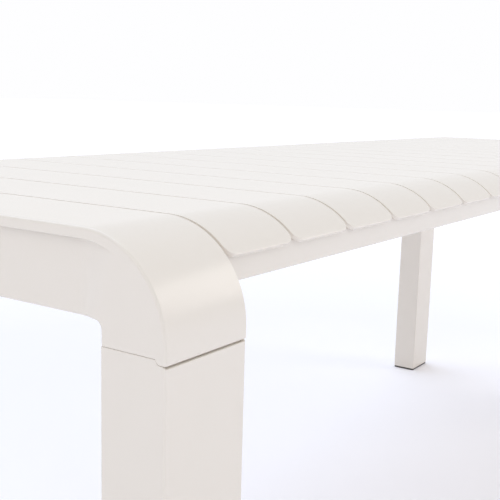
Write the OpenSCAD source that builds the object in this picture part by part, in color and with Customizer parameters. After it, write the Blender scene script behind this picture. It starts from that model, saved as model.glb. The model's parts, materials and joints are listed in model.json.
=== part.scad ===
// A backless garden bench of powder-coated aluminium. Bent slats lie across two side rails and
// a centre rail, and their ends curve down over the long sides. At each end a beam joins two hollow
// corner castings, and the end slat runs flush over them into a rectangular leg.
// The bench stands on z = 0, centred on x = 0 and y = 0: x is its length, y its depth, z is up.

/* [Overall size] */
// Length of the bench over its end faces
bench_l = 1300; // [900:5:1620]
// Depth of the bench over its long sides
bench_d = 450; // [360:5:560]
// Height of the seat above the floor
bench_h = 450; // [370:5:540]

/* [Slats] */
// Width of a slat, and so of an end slat, a corner and a leg
slat_w = 63; // [50:1:76]
// Gap aimed for between two slats
slat_gap = 2; // [1:0.5:8]
// Thickness of a slat
slat_t = 3; // [2:0.25:4]
// Thickness of the sheet that an end slat is folded from
sheet_t = 2; // [1.5:0.25:3]
// Depth of an end slat's lip over the end face
lip_h = 6; // [4.5:0.5:9]
// Outer radius of the bend over the long sides
bend_r = 52; // [40:1:62]
// Angle of the bend that a slat end covers
end_angle = 49; // [40:1:60]
// Radius of the rounded corners at a slat's ends
end_corner_r = 7; // [5:0.5:12]

/* [Frame] */
// Height of an end beam
beam_h = 42; // [35:1:51]
// Clearance between an end beam and the lip of the end slat
beam_fit = 1; // [0.5:0.25:2]
// Height of the rails
rail_h = 31; // [25:1:37]
// Distance from the long side to the outer face of a side rail
rail_inset = 18; // [14:1:22]
// Width of the centre rail
centre_rail_w = 30; // [20:1:40]
// Wall of the beams and rails
tube_wall = 2; // [1.5:0.25:3]

/* [Corner castings] */
// Length of a casting's straight stub between the bend and the beam
stub_l = 4; // [2:0.5:12]
// Length of a casting's straight stub between the bend and the leg
stub_h = 3.5; // [1:0.5:12]
// Wall of a casting around its pockets
corner_wall = 4; // [3:0.5:5]
// Radius between the beam's underside and the leg
inner_r = 4; // [3:0.5:8]
// Distance that the casting's outer skin reaches below the seam
skin_step = 2.5; // [2:0.5:4]
// Height of the shadow groove under that skin
groove_h = 1.2; // [0.6:0.2:3]

/* [Legs] */
// Depth of a leg along the depth of the bench
leg_d = 40; // [33:1:48]
// Wall of a leg
leg_wall = 2; // [1.5:0.25:3]
// Radius of a leg's long edges
leg_edge_r = 1.5; // [1:0.25:4]
// Clearance between a spigot and the leg around it, on each side
spigot_fit = 0.25; // [0.1:0.05:0.4]
// Wall of a spigot
spigot_wall = 3; // [2.5:0.5:4]
// Length of a spigot inside the leg
spigot_reach = 60; // [50:1:80]
// Thickness of a glide under the leg
glide_t = 3; // [2:0.5:5]
// Height of a glide's plug inside the leg
glide_plug_h = 20; // [12:1:30]
// Clearance between a glide's plug and the leg, on each side
glide_fit = 0.2; // [0.1:0.05:0.4]

/* [Leg bolts] */
// Diameter of a leg bolt
bolt_d = 6; // [5:0.5:8]
// Length of a bolt under its head
bolt_l = 16; // [14:1:20]
// Clearance between a bolt and the leg's hole, on each side
bolt_fit = 0.2; // [0.1:0.05:0.4]
// Distance between the two bolts of a leg
bolt_pitch = 25; // [20:1:30]

/* [Hidden] */
$fn = 64;
eps = 0.01;
big = 2 * bench_l;

slat_count = round((bench_l + slat_gap) / (slat_w + slat_gap));
slat_pitch = (bench_l - slat_w) / (slat_count - 1);
inner_slats = slat_count - 2;
// How far the centre of a rounded corner's arc lies past the point that would make it tangent
arc_offset = 0.5;

// Distances down from the seat's surface, and in from a long side or an end face
beam_drop = sheet_t + beam_h;
beam_recess = sheet_t + beam_fit;
rail_drop = slat_t + rail_h;
corner_run = max(bend_r, leg_d + inner_r) + stub_l;
corner_drop = max(bend_r, beam_drop + inner_r) + stub_h;

beam_w = slat_w - beam_recess;
beam_l = bench_d - 2 * corner_run;
rail_l = bench_l - 2 * slat_w;
rail_w = corner_run - rail_inset;

// The skin of a casting that overhangs the leg's outer wall is as thick as the lip is deep
skin_t = lip_h;

spigot_in = leg_wall + spigot_fit;
spigot_w = slat_w - 2 * spigot_in;
spigot_d = leg_d - 2 * spigot_in;
// The spigot starts just under the casting's bent roof
spigot_top = lip_h + 3 * corner_wall;
spigot_h = corner_drop + spigot_reach - spigot_top;

leg_h = bench_h - corner_drop - glide_t;
leg_bore_r = max(leg_edge_r - leg_wall, 0.5);
glide_margin = 0.5;
glide_wall = 3;

// Bolt sizes follow a button-head screw of the chosen diameter
head_d = 1.75 * bolt_d;
head_h = 0.55 * bolt_d;
key_d = 0.667 * bolt_d / cos(30);
key_depth = 0.35 * bolt_d;
washer_d = 2 * bolt_d;
washer_t = 0.2 * bolt_d;
nut_d = 1.5 * bolt_d;
nut_bulge_d = 1.85 * bolt_d;
nut_bulge_h = 2;
nut_l = 10;
thread_fit = 0.05;
bolt_drop = corner_drop + spigot_reach / 2 - bolt_pitch / 2 + 3;

sides = [["front", 0], ["back", 1]];
ends = [["left", 0], ["right", 1]];
corners = [for (s = sides) for (e = ends) [str(s[0], "_", e[0]), e[1], s[1]]];

function two(n) = n < 10 ? str("0", n) : str(n);
function slat_name(n) = str("slat_", two(n));

// ---- places -------------------------------------------------------------------------------------

// Children are drawn for the front left corner, with x and y measured in from its two faces
module at_corner(right, back)
    mirror([right, 0, 0])
        mirror([0, back, 0])
            translate([-bench_l / 2, -bench_d / 2, 0])
                children();

// A section drawn with x = distance in from the long side and y = height from the seat's surface,
// carried along the bench from x = start over a width
module along(start, width)
    translate([start, -bench_d / 2, bench_h])
        rotate([90, 0, 90])
            linear_extrude(width)
                children();

// ---- sections -----------------------------------------------------------------------------------

module rounded_rect(w, d, r) {
    translate([r, 0])
        square([w - 2 * r, d]);
    translate([0, r])
        square([w, d - 2 * r]);
    for (x = [r, w - r])
        for (y = [r, d - r])
            translate([x, y])
                circle(r);
}

// The area under a surface that lies a depth below the bent one, as far in as run, down to drop
module under_bend(depth, run, drop)
    intersection() {
        translate([depth, -drop])
            square([run - depth, drop - depth]);
        union() {
            translate([bend_r, -bend_r])
                circle(bend_r - depth);
            translate([bend_r, -big])
                square(big);
            translate([0, -bend_r - big])
                square(big);
        }
    }

// The area under both bends of a slat and the flat between them, down to the centres of the bends
module under_both_bends(depth)
    intersection() {
        translate([0, -bend_r])
            square([bench_d, bend_r - depth]);
        union() {
            for (x = [bend_r, bench_d - bend_r])
                translate([x, -bend_r])
                    circle(bend_r - depth);
            translate([bend_r, -bend_r])
                square([bench_d - 2 * bend_r, bend_r]);
        }
    }

// A slat's section across the whole bench between two depths, bent at both ends by an angle
module slat_section(top, bottom, angle)
    difference() {
        under_both_bends(top);
        under_both_bends(bottom);
        for (back = [0, 1])
            translate([back * bench_d, 0])
                mirror([back, 0])
                    translate([bend_r, -bend_r])
                        rotate(angle)
                            translate([-2 * bend_r, -bend_r])
                                square([2 * bend_r, 3 * bend_r]);
    }

// ---- slats --------------------------------------------------------------------------------------

// What a rounded corner takes off the front left corner of a slat. Its arc starts and stops a
// distance end_corner_r from the corner, and meets the two edges at a few degrees.
module end_corner_cut() {
    centre = end_corner_r + arc_offset;
    translate([0, -bench_d / 2 + bend_r, bench_h - bend_r])
        rotate([end_angle, 0, 0])
            translate([0, 0, bend_r - 3 * slat_t])
                linear_extrude(4 * slat_t)
                    difference() {
                        translate([-1, -1])
                            square(centre + 1);
                        translate([centre, centre])
                            circle(norm([centre, arc_offset]));
                    }
}

module slat(n)
    color("#f3f1ec")
        translate([-bench_l / 2 + n * slat_pitch, 0, 0])
            difference() {
                along(0, slat_w)
                    slat_section(0, slat_t, end_angle);
                for (back = [0, 1])
                    for (right = [0, 1])
                        translate([right * slat_w, 0, 0])
                            mirror([right, 0, 0])
                                mirror([0, back, 0])
                                    end_corner_cut();
            }

// An end slat lies flat between two castings, on top of the beam, with a lip over the end face
module end_slat(right)
    color("#f3f1ec")
        mirror([right, 0, 0])
            translate([-bench_l / 2, -beam_l / 2, bench_h - lip_h]) {
                translate([0, 0, lip_h - sheet_t])
                    cube([slat_w, beam_l, sheet_t]);
                cube([sheet_t, beam_l, lip_h]);
            }

// ---- frame --------------------------------------------------------------------------------------

// The beam's roof carries the skin of the end slat
module end_beam(right)
    color("#ece8e2")
        mirror([right, 0, 0])
            translate([-bench_l / 2 + beam_recess, -beam_l / 2, bench_h - beam_drop])
                difference() {
                    cube([beam_w, beam_l, beam_h]);
                    translate([tube_wall, -1, tube_wall])
                        cube([beam_w - 2 * tube_wall, beam_l + 2, beam_h - 2 * tube_wall]);
                }

// A side rail fills the inside of the slats' bend and carries their ends
module side_rail(back)
    color("#e9e4dd")
        mirror([0, back, 0])
            along(-rail_l / 2, rail_l)
                difference() {
                    intersection() {
                        under_bend(slat_t, corner_run, rail_drop);
                        translate([rail_inset, -rail_drop])
                            square([rail_w, rail_drop]);
                    }
                    intersection() {
                        under_bend(slat_t + tube_wall, corner_run, rail_drop);
                        translate([rail_inset + tube_wall, -rail_drop + tube_wall])
                            square([rail_w - 2 * tube_wall, rail_drop]);
                    }
                }

module centre_rail()
    color("#e9e4dd")
        translate([-rail_l / 2, -centre_rail_w / 2, bench_h - rail_drop])
            difference() {
                cube([rail_l, centre_rail_w, rail_h]);
                translate([-1, tube_wall, tube_wall])
                    cube([rail_l + 2, centre_rail_w - 2 * tube_wall, rail_h - 2 * tube_wall]);
            }

// ---- corner castings ----------------------------------------------------------------------------

// The casting seen from the end: a leg stub and a beam stub joined by a radius inside the corner
module corner_section()
    difference() {
        union() {
            under_bend(0, corner_run, beam_drop);
            under_bend(0, leg_d, corner_drop);
            translate([leg_d - eps, -beam_drop - inner_r])
                square([inner_r + eps, inner_r + eps]);
            translate([0, -corner_drop - skin_step])
                square([skin_t, skin_step + eps]);
        }
        translate([leg_d + inner_r, -beam_drop - inner_r])
            circle(inner_r);
    }

// The end face sinks from flush at the leg to the beam's recess, under the slat's lip
module face_recess()
    intersection() {
        along(-bench_l / 2 - 1, slat_w)
            under_bend(lip_h, corner_run + 1, corner_drop + skin_step);
        translate([-bench_l / 2, -bench_d / 2, 0])
            linear_extrude(bench_h)
                polygon([
                    [-1, leg_d], [0, leg_d], [beam_recess, corner_run],
                    [beam_recess, corner_run + 1], [-1, corner_run + 1]
                ]);
    }

// The outside of a spigot: a rectangular bar trimmed to follow the bend of the casting above it
module spigot_bar()
    intersection() {
        along(-bench_l / 2, slat_w)
            under_bend(spigot_in, leg_d, spigot_top + spigot_h);
        translate([-bench_l / 2 + spigot_in, -bench_d / 2 + spigot_in, bench_h - spigot_top - spigot_h])
            cube([spigot_w, spigot_d, spigot_h]);
    }

// The open pocket in the face that meets the beam, behind a web that backs the spigot
module beam_pocket() {
    start = leg_d - spigot_in + corner_wall;
    translate([
        -bench_l / 2 + beam_recess + corner_wall,
        -bench_d / 2 + start,
        bench_h - beam_drop + corner_wall
    ])
        cube([
            beam_w - 2 * corner_wall,
            corner_run - start + 1,
            beam_drop - lip_h - corner_wall
        ]);
}

module corner(right, back)
    color("#f0ede8")
        mirror([right, 0, 0])
            mirror([0, back, 0])
                difference() {
                    along(-bench_l / 2, slat_w)
                        corner_section();
                    face_recess();
                    spigot_bar();
                    beam_pocket();
                }

module spigot(right, back)
    color("#b9bbbd")
        mirror([right, 0, 0])
            mirror([0, back, 0])
                difference() {
                    spigot_bar();
                    translate([
                        -bench_l / 2 + spigot_in + spigot_wall,
                        -bench_d / 2 + spigot_in + spigot_wall,
                        bench_h - big
                    ])
                        cube([spigot_w - 2 * spigot_wall, spigot_d - 2 * spigot_wall, big]);
                    translate([-bench_l / 2, -bench_d / 2, 0])
                        bolt_places()
                            cylinder(h = spigot_in + spigot_wall + 1, d = nut_d);
                }

// ---- legs ---------------------------------------------------------------------------------------

// The two bolts of a leg, on the leg's inner face, pointing into it
module bolt_places()
    for (i = [0, 1])
        translate([slat_w / 2, leg_d, bench_h - bolt_drop - i * bolt_pitch])
            rotate([90, 0, 0])
                children();

module leg(right, back)
    color("#efece6")
        at_corner(right, back)
            difference() {
                translate([0, 0, glide_t])
                    linear_extrude(leg_h)
                        difference() {
                            rounded_rect(slat_w, leg_d, leg_edge_r);
                            translate([leg_wall, leg_wall])
                                rounded_rect(slat_w - 2 * leg_wall, leg_d - 2 * leg_wall, leg_bore_r);
                        }
                // room for the casting's skin, with the groove below it
                translate([-1, -1, bench_h - corner_drop - skin_step - groove_h])
                    cube([slat_w + 2, skin_t + 1, skin_step + groove_h + 1]);
                bolt_places()
                    translate([0, 0, -1])
                        cylinder(h = leg_wall + 2, d = bolt_d + 2 * bolt_fit);
            }

module glide(right, back) {
    plug_in = leg_wall + glide_fit;
    plug_w = slat_w - 2 * plug_in;
    plug_d = leg_d - 2 * plug_in;
    color("#4a4947")
        at_corner(right, back)
            difference() {
                union() {
                    translate([glide_margin, glide_margin, 0])
                        linear_extrude(glide_t)
                            rounded_rect(slat_w - 2 * glide_margin, leg_d - 2 * glide_margin, leg_edge_r);
                    translate([plug_in, plug_in, 0])
                        linear_extrude(glide_t + glide_plug_h)
                            rounded_rect(plug_w, plug_d, leg_bore_r);
                }
                translate([plug_in + glide_wall, plug_in + glide_wall, glide_t])
                    cube([plug_w - 2 * glide_wall, plug_d - 2 * glide_wall, glide_plug_h + 1]);
            }
}

// ---- leg bolts ----------------------------------------------------------------------------------

module every_bolt()
    for (c = corners)
        at_corner(c[1], c[2])
            bolt_places()
                children();

// A domed head with a hexagon socket, on a plain shank
module button_bolt() {
    dome_r = (pow(head_d / 2, 2) + pow(head_h, 2)) / (2 * head_h);
    difference() {
        union() {
            rotate_extrude()
                intersection() {
                    translate([0, dome_r - head_h])
                        circle(dome_r);
                    translate([0, -head_h])
                        square([head_d / 2, head_h]);
                }
            translate([0, 0, -eps])
                cylinder(h = bolt_l + eps, d = bolt_d);
        }
        translate([0, 0, -head_h - 1])
            cylinder(h = key_depth + 1, d = key_d, $fn = 6);
    }
}

module leg_bolts()
    color("#c9cacb")
        every_bolt()
            translate([0, 0, -washer_t])
                button_bolt();

module leg_bolt_washers()
    color("#c9cacb")
        every_bolt()
            translate([0, 0, -washer_t])
                difference() {
                    cylinder(h = washer_t, d = washer_d);
                    translate([0, 0, -1])
                        cylinder(h = washer_t + 2, d = bolt_d + 2 * bolt_fit);
                }

module leg_insert_nuts()
    color("#a9abad")
        every_bolt()
            translate([0, 0, spigot_in])
                difference() {
                    union() {
                        cylinder(h = nut_l, d = nut_d);
                        translate([0, 0, spigot_wall])
                            cylinder(h = nut_bulge_h, d = nut_bulge_d);
                    }
                    translate([0, 0, -1])
                        cylinder(h = nut_l + 2, d = bolt_d + 2 * thread_fit);
                }

// ---- the bench ----------------------------------------------------------------------------------

for (n = [1:inner_slats])
    slat(n);
for (e = ends)
    end_slat(e[1]);
for (e = ends)
    end_beam(e[1]);
for (s = sides)
    side_rail(s[1]);
centre_rail();
for (c = corners)
    corner(c[1], c[2]);
for (c = corners)
    spigot(c[1], c[2]);
for (c = corners)
    leg(c[1], c[2]);
for (c = corners)
    glide(c[1], c[2]);
leg_bolts();
leg_bolt_washers();
leg_insert_nuts();
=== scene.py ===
# %% [markdown]
# # A garden bench in powder-coated aluminium
# The bench is made of bent slats, extruded tubes and hollow cast corners. Every piece below is a
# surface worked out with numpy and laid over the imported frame, which gives all the places and sizes.

# %% Load the frame
import json
import math

import bmesh
import bpy
import numpy as np
from mathutils import Matrix, Quaternion, Vector


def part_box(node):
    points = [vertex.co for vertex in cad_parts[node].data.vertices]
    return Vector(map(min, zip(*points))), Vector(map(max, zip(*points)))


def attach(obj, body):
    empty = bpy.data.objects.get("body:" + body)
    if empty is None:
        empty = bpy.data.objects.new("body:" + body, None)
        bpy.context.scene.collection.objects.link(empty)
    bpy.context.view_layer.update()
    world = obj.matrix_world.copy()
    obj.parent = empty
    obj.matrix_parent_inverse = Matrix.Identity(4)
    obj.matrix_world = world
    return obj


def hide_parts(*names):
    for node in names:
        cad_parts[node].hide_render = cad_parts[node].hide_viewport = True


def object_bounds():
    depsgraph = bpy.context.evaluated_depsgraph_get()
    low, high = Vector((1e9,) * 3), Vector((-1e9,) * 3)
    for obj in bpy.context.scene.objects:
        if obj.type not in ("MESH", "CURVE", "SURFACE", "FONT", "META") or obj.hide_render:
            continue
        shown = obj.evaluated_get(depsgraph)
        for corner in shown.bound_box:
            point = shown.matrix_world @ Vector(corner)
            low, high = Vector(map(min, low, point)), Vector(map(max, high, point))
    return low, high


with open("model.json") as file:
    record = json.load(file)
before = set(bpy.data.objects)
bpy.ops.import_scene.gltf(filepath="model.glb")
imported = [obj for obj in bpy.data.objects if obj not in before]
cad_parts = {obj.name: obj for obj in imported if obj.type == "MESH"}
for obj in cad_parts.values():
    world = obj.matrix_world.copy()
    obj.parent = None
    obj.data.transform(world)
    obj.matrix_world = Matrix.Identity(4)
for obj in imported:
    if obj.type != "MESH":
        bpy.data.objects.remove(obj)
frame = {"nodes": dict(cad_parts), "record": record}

cad_box = [list(corner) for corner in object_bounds()]

# %% [markdown]
# ## Sizes
# Blender works in metres, but the bench is drawn in millimetres, so every surface below is computed
# in millimetres and divided by a thousand when its mesh is made. A size that the frame can give is
# read from a node's box. What no box shows, such as the radius of a bend, is a named value.

# %% Read the sizes from the frame
MM = 0.001


def box_mm(name):
    """A node's lowest and highest corner in millimetres."""
    low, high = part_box(name)
    return np.array(low) / MM, np.array(high) / MM


low, high = np.array(cad_box[0]) / MM, np.array(cad_box[1]) / MM
length, depth, height = high - low
half_l, half_d = length / 2, depth / 2
slat_low, slat_high = box_mm("slat_01")
beam_low, beam_high = box_mm("end_beam_left")
rail_low, rail_high = box_mm("side_rail_front")
corner_low, corner_high = box_mm("corner_front_left")
leg_low, leg_high = box_mm("leg_front_left")
lip = height - box_mm("end_slat_left")[0][2]
slat_w = slat_high[0] - slat_low[0]
slat_t = height - rail_high[2]
recess = beam_low[0] + half_l
beam_drop = height - beam_low[2]
sheet = height - beam_high[2]
corner_run = corner_high[1] + half_d
corner_drop = height - leg_high[2]
skin_step = leg_high[2] - corner_low[2]
leg_d = leg_high[1] - leg_low[1]
print(f"bench {length:.0f} x {depth:.0f} x {height:.0f} mm, slat {slat_w:.0f} mm, lip {lip:.0f} mm")

# %% Name the sizes that no box shows
BEND = 52.0          # outer radius of the bend over the long sides
SLAT_ANGLE = math.radians(49)
END_CORNER = 7.0     # rounded corners at a slat's ends
WALL = 2.0           # wall of every tube
LIP_TOP = 1.6        # rounding of the end face's upper edge
SLAT_TOP = 0.6       # rounding of a slat's upper edges
SLAT_UNDER = 0.4     # rounding of a slat's lower edges
LIP_EDGE = 0.8       # rounding of the lip's lower edge
BEAM_EDGE = 2.0      # long edges of the end beams
LEG_EDGE = 1.5       # long edges of the legs
RAIL_EDGE = 1.5      # long edges of the rails
RIM = 0.5            # broken edge at the end of a leg and at the seam above it
INNER_EDGE = 0.5     # rounding inside a tube
INNER_CORNER = 4.0   # radius between a beam's underside and a leg
GROOVE = 1.2         # shadow groove under a casting's skin
flat = depth - 2 * BEND
bend_arc = BEND * SLAT_ANGLE

# %% [markdown]
# ## Turning grids of points into one closed mesh
# A surface computed with numpy is a grid: rows and columns of points, with a face in each cell. A
# solid needs several grids, such as a wall, a top and an underside, that share their border points.
# `mesh_of` puts the grids together. `weld` makes points that coincide one point and drops the cells
# that shrink to nothing, so that a border may close on itself without any special case.

# %% Build a mesh from grids
WELD = 0.001         # points nearer than this, in millimetres, are one point
SMOOTH_BELOW = math.radians(32)


def weld(points, cells):
    """Points on a fine lattice become one point each; cells keep three or four different corners."""
    keys = np.round(points / WELD).astype(np.int64)
    _, first, same = np.unique(keys, axis=0, return_index=True, return_inverse=True)
    cells = same.reshape(-1)[cells]
    kept = cells != np.roll(cells, -1, axis=1)
    crossed = (cells[:, 0] == cells[:, 2]) | (cells[:, 1] == cells[:, 3])
    four = cells[(kept.sum(1) == 4) & ~crossed]
    small = (kept.sum(1) == 3) & ~crossed
    three = cells[small][kept[small]].reshape(-1, 3)
    return points[first], four.tolist() + three.tolist()


def mesh_of(name, grids):
    """One closed mesh, in metres, from grids of points in millimetres, each rows x columns x 3."""
    points, cells, start = [], [], 0
    for grid in grids:
        rows, columns = grid.shape[:2]
        index = start + np.arange(rows * columns).reshape(rows, columns)
        around = [index[:-1, :-1], index[1:, :-1], index[1:, 1:], index[:-1, 1:]]
        cells.append(np.stack(around, -1).reshape(-1, 4))
        points.append(grid.reshape(-1, 3))
        start += rows * columns
    points, faces = weld(np.concatenate(points), np.concatenate(cells))
    mesh = bpy.data.meshes.new(name)
    mesh.from_pydata(points * MM, [], faces)
    shape = bmesh.new()
    shape.from_mesh(mesh)
    bmesh.ops.recalc_face_normals(shape, faces=shape.faces)
    open_edges = sum(not edge.is_manifold for edge in shape.edges)
    shape.to_mesh(mesh)
    shape.free()
    mesh.shade_smooth()
    mesh.set_sharp_from_angle(angle=SMOOTH_BELOW)
    print(f"{name}: {len(mesh.vertices)} points, {len(mesh.polygons)} faces, {open_edges} open edges")
    return mesh


slot_of = {part["node"]: part["material_slot"] for part in frame["record"]["subparts"]}
finishes = {}


def piece(name, grids, *nodes):
    """A finished piece that stands for its nodes, rides on the bench and wears its slot's finish."""
    made = bpy.data.objects.new(name, mesh_of(name, grids))
    bpy.context.scene.collection.objects.link(made)
    keep_flat = made.modifiers.new("flat faces stay flat", "WEIGHTED_NORMAL")
    keep_flat.keep_sharp = True
    slot = slot_of[nodes[0]]
    made.data.materials.append(finishes[slot])
    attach(made, "root")
    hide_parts(*nodes)
    return made


# %% [markdown]
# ## Outlines, rings and ladders
# Most pieces are symmetric about a middle line, so an outline is drawn as its left half: a rounded
# corner, a straight side with stops where the shape needs a point, and another rounded corner. The
# half and its mirror image make a ring. A ladder fills a ring with rungs from each point to its
# mirror point, which closes a top, a floor or an end without any fans.

# %% Draw outlines
def arc(start, end, steps):
    """Angles from start to end in degrees, as radians."""
    return np.radians(np.linspace(start, end, steps + 1))


def fillet(middle, radius, start, end, steps):
    """Points of an arc about its middle, with the second coordinate counted downwards."""
    turn = arc(start, end, steps)
    return np.stack([middle[0] + radius * np.cos(turn), middle[1] - radius * np.sin(turn)], 1)


def ring(width, span, radius, offset=0.0, stops=()):
    """A rounded rectangle moved inwards by an offset, whose corners tighten as it shrinks: its left
    half from top to bottom, the mirror image back up, and the first point again."""
    tight = max(radius - offset, INNER_EDGE)
    low_side, high_side = offset + tight, span - offset - tight
    inside = [stop for stop in stops if low_side < stop < high_side]
    side = np.array([[offset, stop] for stop in inside]).reshape(-1, 2)
    left = np.concatenate([fillet((low_side, low_side), tight, 90, 180, 6), side,
                           fillet((low_side, high_side), tight, 180, 270, 6)])
    right = left[::-1] * [-1, 1] + [width, 0]
    return np.concatenate([left, right, left[:1]])


def ladder(closed_ring):
    """Rungs between a ring's left half and its right half, as a grid two points wide."""
    count = (len(closed_ring) - 1) // 2
    return np.stack([closed_ring[:count], closed_ring[count:2 * count][::-1]], 1)


def shell(outer, inner, closed=True):
    """An outer and an inner surface with the same grid, joined at both ends and, if open, both sides."""
    rims = [np.stack([outer[i], inner[i]]) for i in (0, -1)]
    if not closed:
        rims += [np.stack([outer[:, i], inner[:, i]]) for i in (0, -1)]
    return [outer, inner] + rims


# %% [markdown]
# ## Four corners from one drawing
# The bench is its own mirror image both ways, so a leg or a casting is drawn once, for the front left
# corner, with distances in from the end and from the long side. Two signs put it at any corner. They
# turn the mirrored ones inside out, which is one reason why `mesh_of` recalculates the normals.

# %% Place what is drawn for the front left corner
def at_corner(inward, right, back):
    """Points (distance in from the end, distance in from the long side, z) put at one corner."""
    signs = np.array([-1 if right else 1, -1 if back else 1, 1])
    return (inward - [half_l, half_d, 0]) * signs


CORNERS = {f"{side}_{end}": (right, back)
           for back, side in enumerate(("front", "back")) for right, end in enumerate(("left", "right"))}
print("corners", *CORNERS)

# %% [markdown]
# ## Powder coat
# Powder coat is a dry polyester powder that is sprayed on, held by static and baked until it flows
# together. It hides the metal, so it is a dielectric with an IOR near 1.5 and no metallic part. It
# dries as a satin film with a slight orange peel, waves a few millimetres long, and over that a fine
# grain. The waves bend reflections and the grain takes the gloss off them, so both are bump.

# %% Convert colours and add shader nodes
def linear(hex_colour):
    """An sRGB hex colour as linear red, green, blue and an alpha of one."""
    srgb = np.array([int(hex_colour[i:i + 2], 16) / 255 for i in (1, 3, 5)])
    low_part, high_part = srgb / 12.92, ((srgb + 0.055) / 1.055) ** 2.4
    return (*np.where(srgb <= 0.04045, low_part, high_part), 1.0)


def add(tree, kind, sockets, **settings):
    """A shader node with its settings; each socket, by name or number, gets a value or a link."""
    node = tree.nodes.new(kind)
    for name, value in settings.items():
        setattr(node, name, value)
    for name, value in sockets.items():
        if isinstance(value, bpy.types.NodeSocket):
            tree.links.new(value, node.inputs[name])
        else:
            node.inputs[name].default_value = value
    return node


def new_finish(name):
    """An empty material with a surface shader: its tree, the shader and the bench's coordinates."""
    made = bpy.data.materials.new(name)
    made.use_nodes = True
    tree = made.node_tree
    tree.nodes.clear()
    surface = add(tree, "ShaderNodeBsdfPrincipled", {})
    add(tree, "ShaderNodeOutputMaterial", {"Surface": surface.outputs["BSDF"]})
    place = add(tree, "ShaderNodeTexCoord", {}).outputs["Object"]
    return made, tree, surface, place


# %% Make the powder coat
COAT_IOR = 1.5
PEEL_MM = 3.0        # length of the orange peel's waves
PEEL_HIGH_MM = 0.02
PEEL_BUMP = 0.25     # share of its slope that the waves' bump shows
GRAIN_MM = 0.7       # baked powder is finer, about 0.05 mm, and is drawn coarse enough to show
GRAIN_HIGH_MM = 0.006
GRAIN_BUMP = 0.3
CLOUD_MM = 90.0      # slow drift in film thickness, which shifts the white a little
NOISE_RANGE = (0.3, 0.7)   # most values of a noise lie between these
SPECK = 0.992        # brightness left in the darkest specks of the grain
GLOSS_DRIFT = 0.02   # how far the grain takes the roughness up and down


def powder_coat(name, light, dark, roughness):
    """Satin polyester powder coat on aluminium, between two close shades."""
    made, tree, surface, place = new_finish(name)
    scaled = {"Vector": place, "Detail": 3.0}
    cloud = add(tree, "ShaderNodeTexNoise", scaled | {"Scale": 1 / (CLOUD_MM * MM)})
    peel = add(tree, "ShaderNodeTexNoise", scaled | {"Scale": 1 / (PEEL_MM * MM)})
    grain = add(tree, "ShaderNodeTexNoise", scaled | {"Scale": 1 / (GRAIN_MM * MM)})
    shade = add(tree, "ShaderNodeMix",
                {"Factor": cloud.outputs["Fac"], 6: linear(dark), 7: linear(light)}, data_type="RGBA")
    speck = add(tree, "ShaderNodeMapRange",
                {"Value": grain.outputs["Fac"], "From Min": NOISE_RANGE[0],
                 "From Max": NOISE_RANGE[1], "To Min": SPECK, "To Max": 1.0})
    mottled = add(tree, "ShaderNodeMix", {"Factor": 1.0, 6: shade.outputs[2], 7: speck.outputs[0]},
                  data_type="RGBA", blend_type="MULTIPLY")
    gloss = add(tree, "ShaderNodeMapRange",
                {"Value": grain.outputs["Fac"], "From Min": NOISE_RANGE[0],
                 "From Max": NOISE_RANGE[1], "To Min": roughness - GLOSS_DRIFT,
                 "To Max": roughness + GLOSS_DRIFT})
    waves = add(tree, "ShaderNodeBump", {"Height": peel.outputs["Fac"], "Strength": PEEL_BUMP,
                                         "Distance": PEEL_HIGH_MM * MM})
    rough = add(tree, "ShaderNodeBump", {"Height": grain.outputs["Fac"], "Strength": GRAIN_BUMP,
                                         "Distance": GRAIN_HIGH_MM * MM,
                                         "Normal": waves.outputs["Normal"]})
    surface.inputs["IOR"].default_value = COAT_IOR
    tree.links.new(mottled.outputs[2], surface.inputs["Base Color"])
    tree.links.new(gloss.outputs[0], surface.inputs["Roughness"])
    tree.links.new(rough.outputs["Normal"], surface.inputs["Normal"])
    return made


COAT_LIGHT, COAT_DARK, COAT_ROUGHNESS = "#E9E2D9", "#E6DFD5", 0.24
# The whole bench is coated in one go, so its three kinds of piece get the same shades and gloss.
for slot, pieces in (("slat_coat", "slats"), ("casting_coat", "castings"), ("frame_coat", "frame")):
    finishes[slot] = powder_coat(f"powder coat on {pieces}", COAT_LIGHT, COAT_DARK, COAT_ROUGHNESS)
print("coats", *finishes)

# %% [markdown]
# ## Stainless steel
# The bolts and washers are stainless steel, turned and tumbled, with faint lines from the tool. The
# lines drag each reflection out and make it silky. They could be an anisotropic shader, but stretched
# noise also breaks them up, as tumbling does.

# %% Make the metal
STEEL_NOISE = (0.25, 0.75)
STEEL_BUMP, STEEL_LINE_HIGH_MM = 0.3, 0.02


def drawn_metal(name, colour, roughness, line_mm, stretch):
    """Bare metal with lines: noise squeezed along two axes by a mapping, in roughness and bump."""
    made, tree, surface, place = new_finish(name)
    lined = add(tree, "ShaderNodeMapping", {"Vector": place, "Scale": stretch})
    lines = add(tree, "ShaderNodeTexNoise",
                {"Vector": lined.outputs[0], "Scale": 1 / (line_mm * MM), "Detail": 4.0})
    gloss = add(tree, "ShaderNodeMapRange",
                {"Value": lines.outputs["Fac"], "From Min": STEEL_NOISE[0],
                 "From Max": STEEL_NOISE[1], "To Min": roughness - 0.08, "To Max": roughness + 0.1})
    bump = add(tree, "ShaderNodeBump", {"Height": lines.outputs["Fac"], "Strength": STEEL_BUMP,
                                        "Distance": STEEL_LINE_HIGH_MM * MM})
    tint = add(tree, "ShaderNodeMapRange",
               {"Value": lines.outputs["Fac"], "To Min": 0.9, "To Max": 1.0})
    shade = add(tree, "ShaderNodeMix", {"Factor": 1.0, 6: linear(colour), 7: tint.outputs[0]},
                data_type="RGBA", blend_type="MULTIPLY")
    surface.inputs["Metallic"].default_value = 1.0
    tree.links.new(shade.outputs[2], surface.inputs["Base Color"])
    tree.links.new(gloss.outputs[0], surface.inputs["Roughness"])
    tree.links.new(bump.outputs["Normal"], surface.inputs["Normal"])
    return made


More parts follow.
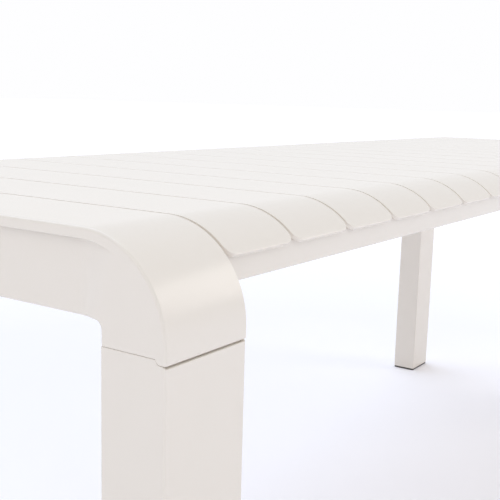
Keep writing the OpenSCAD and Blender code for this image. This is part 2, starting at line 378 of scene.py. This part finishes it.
finishes["stainless"] = drawn_metal("tumbled stainless steel", "#B9B6B0", 0.3, 0.5, (1, 0.2, 1))
print("steel", finishes["stainless"].name)

# %% [markdown]
# ## Nylon
# The glides are moulded nylon, dyed dark grey, with the even, fine pitting of a spark-eroded mould,
# which leaves it nearly matt. A noise could make it uneven, but pits lie side by side, as Voronoi
# cells do. The bump's height is the distance to a cell's middle, so that each cell is one pit.

# %% Make the nylon
NYLON_IOR = 1.53
PIT_MM = 0.5         # a mould's pits are finer, and are drawn coarse enough to show
PIT_HIGH_MM = 0.03
PIT_BUMP = 0.4
DYE_CLOUD_MM = 12.0  # slow drift of the dye
NYLON_ROUGHNESS = (0.5, 0.65)


def moulded_nylon(name, light, dark):
    """Dyed nylon from a spark-eroded mould: fine pits in bump, and roughness that follows them."""
    made, tree, surface, place = new_finish(name)
    pits = add(tree, "ShaderNodeTexVoronoi", {"Vector": place, "Scale": 1 / (PIT_MM * MM)})
    cloud = add(tree, "ShaderNodeTexNoise",
                {"Vector": place, "Scale": 1 / (DYE_CLOUD_MM * MM), "Detail": 3.0})
    shade = add(tree, "ShaderNodeMix",
                {"Factor": cloud.outputs["Fac"], 6: linear(dark), 7: linear(light)}, data_type="RGBA")
    gloss = add(tree, "ShaderNodeMapRange",
                {"Value": pits.outputs["Distance"], "To Min": NYLON_ROUGHNESS[0],
                 "To Max": NYLON_ROUGHNESS[1]})
    bump = add(tree, "ShaderNodeBump", {"Height": pits.outputs["Distance"], "Strength": PIT_BUMP,
                                        "Distance": PIT_HIGH_MM * MM})
    surface.inputs["IOR"].default_value = NYLON_IOR
    tree.links.new(shade.outputs[2], surface.inputs["Base Color"])
    tree.links.new(gloss.outputs[0], surface.inputs["Roughness"])
    tree.links.new(bump.outputs["Normal"], surface.inputs["Normal"])
    return made


finishes["nylon"] = moulded_nylon("dark grey nylon", "#4A4845", "#403E3B")
print(len(finishes), "finishes")

# %% [markdown]
# ## Slats
# A slat is one flat strip with rounded corners, whose two ends are bent round the long sides. Its
# edge has one profile all the way round, so the slat is that profile carried round the strip's
# outline. The outline is drawn flat, with distance over the surface instead of depth, and then laid
# over the bends. The top edges are broken more than the lower ones, because hands meet them.

# %% Lay a flat drawing over the bends
def over_bends(x, along, deep):
    """Points at x, a distance along the surface from the front bend, and a depth under the surface.
    On a bend the angle is the distance over the radius, and depth shortens the radius."""
    angle = np.minimum(along, 0) / BEND + np.maximum(along - flat, 0) / BEND
    y = -half_d + BEND + np.clip(along, 0, flat) + (BEND - deep) * np.sin(angle)
    z = height - BEND + (BEND - deep) * np.cos(angle)
    return np.stack(np.broadcast_arrays(x, y, z), -1)


# %% Make the slats
BEND_STEPS = 20
FLAT_STEPS = 4
developed = flat + 2 * bend_arc
slat_stops = np.concatenate([
    np.linspace(0, bend_arc, BEND_STEPS + 1), bend_arc + np.linspace(0, flat, FLAT_STEPS + 1)[1:-1],
    bend_arc + flat + np.linspace(0, bend_arc, BEND_STEPS + 1)])
slat_edge = np.concatenate([
    fillet((SLAT_TOP, SLAT_TOP), SLAT_TOP, 90, 180, 5),
    fillet((SLAT_UNDER, slat_t - SLAT_UNDER), SLAT_UNDER, 180, 270, 3)])


def slat_grids(start_x):
    """A slat: its edge profile round the outline, with a ladder for the top and for the underside."""
    rings = np.stack([ring(slat_w, developed, END_CORNER, offset, slat_stops)
                      for offset, _ in slat_edge])
    wall = over_bends(start_x + rings[..., 0], rings[..., 1] - bend_arc, slat_edge[:, 1:])
    return [wall, ladder(wall[0]), ladder(wall[-1])]


slat_names = sorted(name for name in frame["nodes"] if name.startswith("slat_"))
for name in slat_names:
    piece(name, slat_grids(box_mm(name)[0][0]), name)

# %% [markdown]
# ## End slats
# An end slat is folded from thinner sheet: it lies on the beam, and its outer edge is turned down
# over the end face as a lip. It has no free ends, because it is welded between two castings and the
# joint is ground away. So its section is carried straight across.

# %% Make the end slats
PAST_FOLD = 2.0      # where the flat part inside the fold gets its first point


def end_slat_section():
    """The sheet from the lip's tip to the inner edge, outer and inner side, as (across, depth)."""
    outer = np.concatenate([
        fillet((LIP_EDGE, lip - LIP_EDGE), LIP_EDGE, 270, 180, 4),
        fillet((LIP_TOP, LIP_TOP), LIP_TOP, 180, 90, 6),
        fillet((slat_w - SLAT_TOP, SLAT_TOP), SLAT_TOP, 90, 0, 5), [[slat_w, sheet]]])
    fold, tip = sheet + INNER_EDGE, sheet - INNER_EDGE
    folded = np.concatenate([fillet((tip, lip - INNER_EDGE), INNER_EDGE, 270, 360, 4),
                             fillet((fold, fold), INNER_EDGE, 180, 90, 6)])
    rest = len(outer) - len(folded)
    straight = np.stack([np.linspace(fold + PAST_FOLD, slat_w, rest), np.full(rest, sheet)], 1)
    return outer, np.concatenate([folded, straight])


def end_slat_grids(right):
    """The section's two sides, carried along the depth of the bench between the castings."""
    ends = np.array([corner_run, depth - corner_run])[:, None]
    sides = [at_corner(np.stack(np.broadcast_arrays(line[:, 0], ends, height - line[:, 1]), -1),
                       right, False) for line in end_slat_section()]
    return shell(*sides, closed=False)


for right, end in enumerate(("left", "right")):
    piece(f"end_slat_{end}", end_slat_grids(right), f"end_slat_{end}")

# %% [markdown]
# ## Tubes
# Beams and rails are extruded, so each is an outer and an inner outline carried along a straight
# line. An extrusion's long edges are never sharp: the die leaves a small radius on each.

# %% Make the end beams and the centre rail
def end_beam_grids(right):
    """A rectangular tube along the depth of the bench, between the castings."""
    across, down = beam_high[0] - beam_low[0], beam_high[2] - beam_low[2]
    ends = np.array([corner_run, depth - corner_run])[:, None]
    sides = [at_corner(np.stack(np.broadcast_arrays(recess + loop[:, 0], ends,
                                                    beam_high[2] - loop[:, 1]), -1), right, False)
             for loop in (ring(across, down, BEAM_EDGE, inset) for inset in (0, WALL))]
    return shell(*sides)


def centre_rail_grids():
    """A rectangular tube along the length of the bench, between the end beams."""
    rail = box_mm("centre_rail")
    across, down = (rail[1] - rail[0])[1:]
    ends = np.array([rail[0][0], rail[1][0]])[:, None]
    sides = [np.stack(np.broadcast_arrays(ends, rail[0][1] + loop[:, 0],
                                          rail[1][2] - loop[:, 1]), -1)
             for loop in (ring(across, down, RAIL_EDGE, inset) for inset in (0, WALL))]
    return shell(*sides)


for right, end in enumerate(("left", "right")):
    piece(f"end_beam_{end}", end_beam_grids(right), f"end_beam_{end}")
piece("centre_rail", centre_rail_grids(), "centre_rail")

# %% [markdown]
# ## Side rails
# A side rail is an extrusion with a rounded shoulder that fits inside the bend of the slats. Its
# shoulder is an arc about the same centre as the bend, smaller by the thickness of a slat.

# %% Make the side rails
rail_in = rail_low[1] + half_d
rail_top, rail_bottom = height - rail_high[2], height - rail_low[2]


def rail_loop(inset):
    """A rail's outline moved inwards by an inset, as (distance in from the side, depth)."""
    radius = BEND - slat_t - inset
    outer, inner = rail_in + inset, corner_run - inset
    under = rail_bottom - inset
    edge = max(RAIL_EDGE - inset, INNER_EDGE)
    last = math.degrees(math.asin((BEND - outer) / radius))
    shoulder = arc(0, last, 12)
    bend = np.stack([BEND - radius * np.sin(shoulder), BEND - radius * np.cos(shoulder)], 1)
    corners = [fillet((outer + edge, under - edge), edge, 180, 270, 4),
               fillet((inner - edge, under - edge), edge, 270, 360, 4),
               [[inner, rail_top + inset], [BEND, rail_top + inset]]]
    return np.concatenate([bend, *corners])


def side_rail_grids(back):
    """The rail's outer and inner outline, carried along the bench between the castings."""
    ends = np.array([slat_w, length - slat_w])[:, None]
    sides = [at_corner(np.stack(np.broadcast_arrays(ends, loop[:, 0], height - loop[:, 1]), -1),
                       False, back) for loop in (rail_loop(0.0), rail_loop(WALL))]
    return shell(*sides)


for back, side in enumerate(("front", "back")):
    piece(f"side_rail_{side}", side_rail_grids(back), f"side_rail_{side}")

# %% [markdown]
# ## Corner castings
# The corner is the piece that gives this bench its look. On top it continues the end slat as a lip
# over the bend, and its end face starts behind the lip, flush with the beam, and comes forward until
# it is flush with the leg, so that the lip melts into the face. The section at each place round the
# bend lies on a ray to the centre of the bend, and reaches from the skin to the inside of the corner.

# %% Work out the rays round the corner
ARC_STEPS = 40
FADE_AT_LIP = 28.0   # length over which the end face comes forward, just under the lip
FADE_BELOW = 16.0    # and near the seam, where it has to be flush with the leg
TINY = 1e-9          # keeps a ray that never meets a side from dividing by nothing


def ray_length(angle):
    """Distance from the bend's centre to the inside of the corner: to the beam's underside, to the
    leg's inner face, or between them to the far side of the rounding circle."""
    to_beam = (BEND - beam_drop) / np.maximum(np.cos(angle), TINY)
    to_leg = (BEND - leg_d) / np.maximum(np.sin(angle), TINY)
    middle = np.array([leg_d + INNER_CORNER - BEND, beam_drop + INNER_CORNER - BEND])
    reach = -(np.sin(angle) * middle[0] + np.cos(angle) * middle[1])
    to_round = reach + np.sqrt(np.maximum(reach**2 - (middle @ middle - INNER_CORNER**2), 0))
    in_beam = np.sin(angle) * to_beam <= -middle[0]
    in_leg = np.cos(angle) * to_leg <= -middle[1]
    return np.where(in_beam, to_beam, np.where(in_leg, to_leg, to_round))


def stations():
    """Start (in, down), direction and thickness of each section, from the beam to the leg."""
    angle = arc(0, 90, ARC_STEPS)
    direction = np.stack([np.sin(angle), np.cos(angle)], 1)
    start = BEND - BEND * direction
    thick = BEND - ray_length(angle)
    first = np.array([[corner_run, 0.0]])
    start = np.concatenate([first, start])
    direction = np.concatenate([direction[:1], direction])
    return start, direction, np.concatenate([thick[:1], thick])


# %% Draw a section and the foot of the casting
SKIN_FLAT, SKIN_ROUND = 3.5, 2.5   # how far in the skin's foot is flat, and then rounded up
skin_stops = SKIN_FLAT + SKIN_ROUND * np.sin(np.radians([0, 20, 40, 90]))   # leg and casting share
LIP_UNDER = 0.27     # rounding of the lip's lower edge, as a share of how far it stands out
FACE_SHARES = np.array([0.1, 0.25, 0.45, 0.7])   # points down the end face, closer near the lip
RIM_STEPS = ((0, 1), (0.3, 0.3), (1, 0))         # a broken edge: moved in and up, in shares of RIM


def foot_drop(inward, step):
    """How far below the seam a foot reaches: a full step at the skin, rounded up to none inside."""
    share = np.clip((inward - SKIN_FLAT) / SKIN_ROUND, 0, 1)
    return step * np.sqrt(1 - share**2)


def sunk_at(inward, down):
    """How far behind the lip the end face lies: the beam's recess at the beam, smoothly less to none."""
    lower = np.clip((down - lip) / (beam_drop - 2 * lip), 0, 1)
    run = FADE_AT_LIP + (FADE_BELOW - FADE_AT_LIP) * lower
    share = np.clip((corner_run - inward) / run, 0, 1)
    return recess * (1 - share * share * (3 - 2 * share))


def section_side(start, way, thick, top_edge, sinks):
    """One side of a section, from the skin to the inside, as (across, in, down). A sinking side has
    a lip that stands over the face; its lower edge is rounded by about a quarter of the recess."""
    lip_sunk = sinks * sunk_at(*(start + lip * way))
    skin = fillet((top_edge, top_edge), top_edge, 90, 180, 6)
    under = fillet((LIP_UNDER, LIP_UNDER), LIP_UNDER, 180, 270, 4)
    lip_part = np.stack([under[:, 0], lip - lip_sunk * (2 * LIP_UNDER - under[:, 1])], 1)
    hollow = np.array([[0.9, lip], [1.0, lip + 0.1 * lip_sunk]])
    lip_part = np.concatenate([lip_part, hollow])
    bottom = fillet((BEAM_EDGE, thick - BEAM_EDGE), BEAM_EDGE, 180, 270, 6)
    face = lip + (thick - BEAM_EDGE - lip) * FACE_SHARES
    band = skin_stops[:-1]
    deep = np.concatenate([skin[:, 1], band, lip_part[:, 1], face, bottom[:, 1]])
    share = np.concatenate([0 * skin[:, 0], 0 * band, lip_part[:, 0],
                            np.ones(len(face) + len(bottom))])
    extra = np.concatenate([skin[:, 0], 0 * band, np.zeros(len(lip_part) + len(face)),
                            bottom[:, 0]])
    in_and_down = start + deep[:, None] * way
    across = extra + sinks * share * sunk_at(in_and_down[:, 0], in_and_down[:, 1])
    return np.column_stack([across, in_and_down])


def casting_grids(right, back):
    """The casting's skin and faces from the beam to the seam, and the two ends."""
    rows = []
    for start, way, thick in zip(*stations()):
        outside = section_side(start, way, thick, LIP_TOP, 1)
        inside = section_side(start, way, thick, SLAT_TOP, 0)[::-1] * [-1, 1, 1] + [slat_w, 0, 0]
        rows.append(np.concatenate([outside, inside]) * [1, 1, -1] + [0, 0, height])
    body = np.array(rows)
    surface = np.concatenate([body, casting_foot(body[-1])])
    surface = at_corner(np.concatenate([surface, surface[:, :1]], 1), right, back)
    return [surface, ladder(surface[0]), ladder(surface[-1])]


def casting_foot(last):
    """Rings from the last section down to the seam, the outer skin lower, with a broken edge."""
    inward = last[:, 1]
    seam = height - corner_drop - foot_drop(inward, skin_step)
    middle = [slat_w / 2, leg_d / 2]
    away = np.sign(last[:, :2] - middle) * (np.abs(last[:, :2] - middle) > [
        slat_w / 2 - 2 * RIM, leg_d / 2 - 2 * RIM])
    rings = []
    for moved, raised in RIM_STEPS:
        ring_points = np.empty_like(last)
        ring_points[:, :2] = last[:, :2] - moved * RIM * away
        ring_points[:, 2] = seam + raised * RIM
        rings.append(ring_points)
    return np.array(rings)


for name, (right, back) in CORNERS.items():
    piece(f"corner_{name}", casting_grids(right, back), f"corner_{name}")

# %% [markdown]
# ## Legs
# A leg is a rectangular tube. Its top is cut lower along the outside, to make room for the casting's
# skin and the shadow groove below it. Cutting that step out of a finished tube would leave ragged
# faces, so the tube's rings get points where the step bends, and those at the top follow it.

# %% Make the legs
GROOVE_IN = 1.8      # how far in the shadow groove reaches
BORE_RIM = 0.3       # broken edge at the end of a leg's bore
LOW_RING, HIGH_RING = 60.0, 250.0   # heights of two rings between the foot and the top
leg_stops = [*skin_stops, 7.0, 20.0]
rim = [(RIM * moved, RIM * raised) for moved, raised in RIM_STEPS]
leg_walk = [*((moved, raised, False) for moved, raised in rim[::-1]),
            (0, LOW_RING, False), (0, HIGH_RING, False),
            *((moved, -raised, True) for moved, raised in rim),
            (WALL - BORE_RIM, 0, True), (WALL, -BORE_RIM, True), (WALL, HIGH_RING, False),
            (WALL, BORE_RIM, False), (WALL - BORE_RIM, 0, False), (RIM, 0, False)]


def leg_grids(right, back):
    """A walk up the tube's outer face, over its rim and down its inner face, with one ring a step.
    A step is how far in from the outer face it lies, and its height over the foot or the top."""
    outer, inner = [ring(slat_w, leg_d, LEG_EDGE, offset, leg_stops) for offset in (0, WALL)]
    groove = GROOVE * np.clip(1 - outer[:, 1] / GROOVE_IN, 0, 1)
    top = leg_high[2] - foot_drop(outer[:, 1], skin_step) - groove
    rings = [np.column_stack([outer + (inner - outer) * offset / WALL,
                              (top if from_top else leg_low[2] + 0 * top) + rise])
             for offset, rise, from_top in leg_walk]
    return [at_corner(np.array(rings), right, back)]


for name, (right, back) in CORNERS.items():
    piece(f"leg_{name}", leg_grids(right, back), f"leg_{name}")

# %% [markdown]
# ## Glides
# A nylon glide closes each foot: a flange that the leg stands on, and a plug that grips inside the
# tube. Both are rounded rectangles, so one profile of offsets and heights makes the whole glide.

# %% Make the glides
GLIDE_FIT = 0.2      # play between the plug and the tube
FOOT_EDGE = 0.8      # rounding of the flange at the floor
FLANGE_EDGE = 0.3    # and under the leg
PLUG_WALL = 2.1
LEAD_IN, LEAD_DOWN = 1.0, 1.5       # taper that helps the plug into the tube


def glide_grids(right, back):
    """Rings from the floor up the flange and the plug, over its rim and down inside it."""
    low_corner, high_corner = box_mm("glide_front_left")
    margin = low_corner[0] + half_l
    tall, flange = high_corner[2], leg_low[2]
    plug = WALL + GLIDE_FIT
    bore = plug + PLUG_WALL
    profile = [(margin + FOOT_EDGE, 0), (margin + 0.25, 0.2), (margin, FOOT_EDGE),
               (margin, flange - FLANGE_EDGE), (margin + FLANGE_EDGE, flange), (plug, flange),
               (plug, tall - LEAD_DOWN), (plug + LEAD_IN, tall), (bore, tall), (bore, flange)]
    rings = []
    for offset, z in profile:
        loop = ring(slat_w, leg_d, LEG_EDGE + margin, offset)
        rings.append(np.column_stack([loop, np.full(len(loop), z)]))
    surface = at_corner(np.array(rings), right, back)
    return [surface, ladder(surface[0]), ladder(surface[-1])]


for name, (right, back) in CORNERS.items():
    piece(f"glide_{name}", glide_grids(right, back), f"glide_{name}")

# %% [markdown]
# ## Leg bolts and washers
# Each leg hangs on two button-head bolts through its inner face. A bolt is a profile turned about
# its axis, except for the socket, whose ring is a hexagon: at each angle its radius is half the key
# size over the cosine of the angle to the middle of the flat.

# %% Turn profiles about an axis
TURN = np.linspace(0, 2 * np.pi, 49)
WASHER_R = 6.0
WASHER_HOLE = 3.2    # radius
WASHER_T = 1.2
WASHER_EDGE = 0.3    # broken outer edge
HOLE_EDGE = 0.2      # broken edge of the hole
HEAD_R = 5.25
HEAD_H = 3.3
SHANK_R = 3.0
SHANK_CHAMFER = 0.7
KEY = 4.0            # width of the socket across its flats
KEY_DEEP = 2.1
washer_low, washer_high = box_mm("leg_bolt_washers")
tip_in = half_d - box_mm("leg_bolts")[1][1]   # from a leg's outer face to the tip of a shank
shank_length = leg_d + WASHER_T - tip_in
bolt_heights = [washer_high[2] - WASHER_R, washer_low[2] + WASHER_R]
print(f"shank {shank_length:.1f} mm, bolts at {bolt_heights[0]:.0f} and {bolt_heights[1]:.0f} mm")


def turned(radii, heights):
    """A grid of a profile turned about z; a radius may be one number or one for each angle."""
    rows = [np.stack([radius * np.cos(TURN), radius * np.sin(TURN), np.full(len(TURN), z)], 1)
            for radius, z in zip(radii, heights)]
    return np.array(rows)


def bolt_grid():
    """A button-head bolt, its axis z pointing into the leg and z = 0 under the head."""
    dome = (HEAD_R**2 + HEAD_H**2) / (2 * HEAD_H)
    hexagon = KEY / 2 / np.cos(TURN % (np.pi / 3) - np.pi / 6)
    rise = np.linspace(0.96, 0.12, 8)
    dome_radii = np.sqrt(dome**2 - (dome - HEAD_H + rise * HEAD_H) ** 2)
    radii = [0, hexagon, hexagon, hexagon + 0.25, *dome_radii, HEAD_R, HEAD_R - 0.3, SHANK_R, SHANK_R,
             SHANK_R - SHANK_CHAMFER, 0]
    heights = [-HEAD_H + KEY_DEEP + 0.4, -HEAD_H + KEY_DEEP, -HEAD_H + 0.35, -HEAD_H + 0.1,
               *(-rise * HEAD_H), -0.2, 0, 0, shank_length - SHANK_CHAMFER, shank_length,
               shank_length]
    return turned(radii, heights)


def washer_grid():
    """A flat washer with its edges broken, from z = 0 to its thickness."""
    flat_in, flat_out = WASHER_HOLE + HOLE_EDGE, WASHER_R - WASHER_EDGE
    radii = [WASHER_HOLE, WASHER_HOLE, flat_in, flat_out, WASHER_R, WASHER_R, flat_out, flat_in,
             WASHER_HOLE]
    heights = [HOLE_EDGE, WASHER_T - HOLE_EDGE, WASHER_T, WASHER_T, WASHER_T - WASHER_EDGE,
               WASHER_EDGE / 2, 0, 0, HOLE_EDGE]
    return turned(radii, heights)


def at_bolts(grid, out):
    """Copies of a grid at every bolt, its z turned to point into the leg and moved out by a distance."""
    across, depth_in = slat_w / 2 + grid[..., 0], leg_d + out - grid[..., 2]
    copies = []
    for right, back in CORNERS.values():
        for z in bolt_heights:
            inward = np.stack([across, depth_in, z + grid[..., 1]], -1)
            copies.append(at_corner(inward, right, back))
    return copies


piece("leg_bolts", at_bolts(bolt_grid(), WASHER_T), "leg_bolts")
piece("leg_bolt_washers", at_bolts(washer_grid(), WASHER_T), "leg_bolt_washers")

# %% [markdown]
# ## Pieces inside
# The spigots and the insert nuts sit inside the legs and hardly show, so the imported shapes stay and
# only get their finish.

# %% Finish the pieces that stay
for name, node in frame["nodes"].items():
    if not node.hide_render:
        node.material_slots[0].material = finishes[slot_of[name]]
        print("kept", name, "in", finishes[slot_of[name]].name)

# %% [markdown]
# ## Floor
# A plain matt white floor, large enough to reach the horizon. Even a white floor comes out grey next
# to a white surround, so it glows a little, and more so further out, where it has to meet the
# surround. Near the bench it glows least, so that the soft shadows under the feet stay.

# %% Lay the floor
FLOOR_REACH = 60.0                # metres
GLOW_NEAR, GLOW_FAR = 0.06, 0.3   # strength of the glow
NEAR, FAR = 1.0, 3.0              # metres from the middle of the bench
floor_mesh = bpy.data.meshes.new("studio floor")
floor_mesh.from_pydata([(x * FLOOR_REACH, y * FLOOR_REACH, 0)
                        for x, y in ((-1, -1), (1, -1), (1, 1), (-1, 1))], [], [(0, 1, 2, 3)])
floor = bpy.data.objects.new("studio_floor", floor_mesh)
bpy.context.scene.collection.objects.link(floor)
floor_finish, floor_tree, floor_surface, floor_place = new_finish("matt white studio floor")
floor_noise = add(floor_tree, "ShaderNodeTexNoise", {"Vector": floor_place, "Scale": 3.0})
floor_shade = add(floor_tree, "ShaderNodeMix",
                  {"Factor": floor_noise.outputs["Fac"], 6: linear("#F5F4F8"), 7: linear("#F7F6FA")},
                  data_type="RGBA")
floor_tree.links.new(floor_shade.outputs[2], floor_surface.inputs["Base Color"])
floor_surface.inputs["Roughness"].default_value = 0.9
floor_surface.inputs["Specular IOR Level"].default_value = 0.1
floor_surface.inputs["Emission Color"].default_value = linear("#FFFFFF")
distance = add(floor_tree, "ShaderNodeVectorMath", {0: floor_place}, operation="LENGTH")
floor_glow = add(floor_tree, "ShaderNodeMapRange",
                 {"Value": distance.outputs["Value"], "From Min": NEAR, "From Max": FAR,
                  "To Min": GLOW_NEAR, "To Max": GLOW_FAR})
floor_tree.links.new(floor_glow.outputs[0], floor_surface.inputs["Emission Strength"])
floor_mesh.materials.append(floor_finish)
print("floor", 2 * FLOOR_REACH, "m across in", floor_finish.name)

# %% [markdown]
# ## Light
# A pale studio. The surround is white, brightest near the floor and ahead of the camera, so that the
# seat reflects it at a grazing angle. A wide soft light overhead gives the seat its even brightness
# and the floor its soft shadow. A long strip light on the left models the end faces, and a softbox
# off to the right draws the band of light along the bent corner.

# %% Set the light
scene = bpy.context.scene
scene.view_settings.view_transform = "Standard"
scene.view_settings.look = "None"
surround = bpy.data.worlds.new("white surround")
surround.use_nodes = True
sky = surround.node_tree
heading = add(sky, "ShaderNodeTexCoord", {}).outputs["Generated"]
elevation = add(sky, "ShaderNodeSeparateXYZ", {"Vector": heading}).outputs["Z"]
OVERHEAD, BEHIND = 0.78, 0.7      # strength of the surround there; it is 1 ahead and low down
AHEAD = (0.83, 0.56, 0)           # level direction in which the camera looks
by_height = add(sky, "ShaderNodeMapRange", {"Value": elevation, "From Min": 0.15, "From Max": 0.5,
                                            "To Min": 1.0, "To Max": OVERHEAD})
ahead = add(sky, "ShaderNodeVectorMath", {0: heading, 1: AHEAD}, operation="DOT_PRODUCT")
by_side = add(sky, "ShaderNodeMapRange", {"Value": ahead.outputs["Value"], "From Min": -0.3,
                                          "From Max": 0.5, "To Min": BEHIND, "To Max": 1.0})
glow = add(sky, "ShaderNodeMath", {0: by_height.outputs[0], 1: by_side.outputs[0]},
           operation="MULTIPLY")
sky.nodes["Background"].inputs["Color"].default_value = linear("#FEFEFF")
sky.links.new(glow.outputs[0], sky.nodes["Background"].inputs["Strength"])
scene.world = surround


def light(kind, name, place, target, energy, colour, twist=0.0, **settings):
    """A lamp of a kind at a place in metres, facing a target and twisted about that line."""
    lamp = bpy.data.lights.new(name, kind)
    lamp.energy, lamp.color = energy, linear(colour)[:3]
    for setting, value in settings.items():
        setattr(lamp, setting, value)
    made = bpy.data.objects.new(name, lamp)
    made.location = place
    facing = (Vector(target) - Vector(place)).to_track_quat("-Z", "Y")
    made.rotation_euler = (facing @ Quaternion((0, 0, 1), twist)).to_euler()
    scene.collection.objects.link(made)


NEAR_CASTING = (-0.62, -0.2, 0.42)
light("SUN", "overhead silk", (0.3, 1.0, 1.9), (0, 0, 0), 1.2, "#DAE8FF", angle=math.radians(60),
      specular_factor=0.5)
light("AREA", "left strip", (-1.73, -0.94, 1.9), NEAR_CASTING, 9, "#FFFCF8",
      twist=math.radians(33.5), shape="RECTANGLE", size=0.35, size_y=2.7, specular_factor=0.4)
light("AREA", "right softbox", (1.3, -1.27, 1.2), NEAR_CASTING, 5.5, "#FFFAF4", size=0.9)
print("lights", [lamp.name for lamp in bpy.data.lights])

# %% [markdown]
# ## Camera
# The camera stands close to one corner, a little above the seat, and looks along the bench. A
# constraint could aim it, but its place, its three turns and its focal length are known, so they go
# straight into its matrix, whose columns are what lies to its right, above it and behind it.

# %% Place the camera
CAMERA_FROM_CORNER = Vector((-285.75, -238.73, 60.31)) * MM   # from the seat's corner
YAW, PITCH, ROLL = math.radians(34.31), math.radians(9.84), math.radians(1.56)
SENSOR_MM, LENS_MM = 36.0, 62.54
level = Vector((math.cos(YAW), math.sin(YAW), 0))
upright = Vector((0, 0, 1))
sight = level * math.cos(PITCH) - upright * math.sin(PITCH)
top_way = upright * math.cos(PITCH) + level * math.sin(PITCH)
right_way = Vector((math.sin(YAW), -math.cos(YAW), 0))
rolled_right = right_way * math.cos(ROLL) + top_way * math.sin(ROLL)
rolled_top = top_way * math.cos(ROLL) - right_way * math.sin(ROLL)
lens = bpy.data.cameras.new("camera")
lens.sensor_width, lens.lens = SENSOR_MM, LENS_MM
lens.clip_start, lens.clip_end = 0.01, 100
camera = bpy.data.objects.new("camera", lens)
turn = Matrix((rolled_right, rolled_top, -sight)).transposed()
near_corner = Vector((-half_l, -half_d, height)) * MM
camera.matrix_world = Matrix.Translation(near_corner + CAMERA_FROM_CORNER) @ turn.to_4x4()
scene.collection.objects.link(camera)
scene.camera = camera
print("camera at", [round(value, 3) for value in camera.matrix_world.translation])
